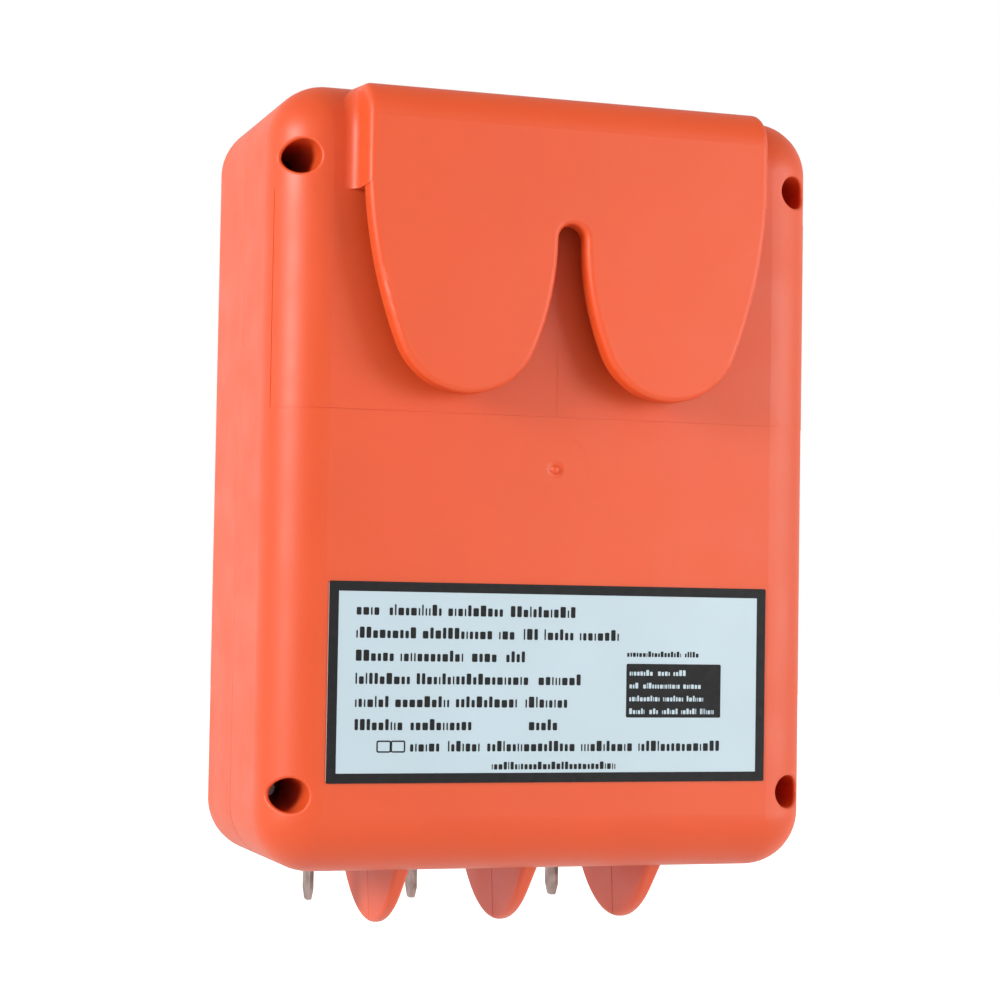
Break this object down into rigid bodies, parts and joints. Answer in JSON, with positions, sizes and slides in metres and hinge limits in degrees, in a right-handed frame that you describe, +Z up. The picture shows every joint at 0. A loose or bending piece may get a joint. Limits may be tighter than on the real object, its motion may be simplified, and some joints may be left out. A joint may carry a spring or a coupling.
{
  "type": "fence energizer",
  "caption": "Battery fence energizer: rounded moulded case that hangs by a two-lobed hook, with insulating fins and blade terminals below.",
  "frame": {"origin": "middle of the hook seat: the flat underside of the hook's root, halfway across the gap between case and flap", "axes": "+Z up, +Y out of the back of the case on the hook side, +X to the right seen from the front"},
  "size_m": [0.1168, 0.0719, 0.1701],
  "materials": {
    "orange_plastic": "satin",
    "label_film": "satin",
    "front_film": "satin",
    "label_ink": "satin",
    "blade_metal": "satin",
    "screw_steel": "satin",
    "seal_rubber": "matte",
    "board_laminate": "satin",
    "core_steel": "matte",
    "bobbin_plastic": "satin",
    "copper": "gloss",
    "lead_red": "satin",
    "lead_green": "satin",
    "capacitor_box": "satin",
    "ferrite": "matte",
    "device_black": "matte",
    "can_sleeve": "satin",
    "resistor_body": "satin",
    "ceramic_coat": "satin",
    "fuse_glass": "gloss",
    "varistor_coat": "satin",
    "gap_ceramic": "satin",
    "clear_plastic": "gloss"
  },
  "bodies": {
    "root": {"rear_shell": "orange_plastic", "front_shell": "orange_plastic", "case_screws": "screw_steel", "rating_label": "label_film", "front_label": "front_film", "fence_terminal": "blade_metal", "earth_terminal": "blade_metal", "battery_positive_terminal": "blade_metal", "battery_negative_terminal": "blade_metal", "case_seal": "seal_rubber", "terminal_seals": "seal_rubber", "circuit_board": "board_laminate", "board_screws": "screw_steel", "bracket_screws": "screw_steel", "transformer_core_e": "core_steel", "transformer_core_i": "core_steel", "transformer_bobbin": "bobbin_plastic", "primary_winding": "copper", "secondary_winding": "copper", "transformer_bracket": "screw_steel", "fence_lead": "lead_red", "earth_lead": "lead_green", "storage_capacitor": "capacitor_box", "converter_core_left": "ferrite", "converter_core_right": "ferrite", "converter_bobbin": "bobbin_plastic", "converter_winding": "copper", "discharge_thyristor": "device_black", "switching_transistor": "device_black", "input_capacitor": "can_sleeve", "control_chip": "device_black", "rectifier_diodes": "device_black", "resistors": "resistor_body", "ceramic_capacitors": "ceramic_coat", "fuse": "fuse_glass", "surge_varistor": "varistor_coat", "spark_gap": "gap_ceramic", "pulse_led": "clear_plastic", "light_pipe": "clear_plastic"}
  },
  "joints": []
}
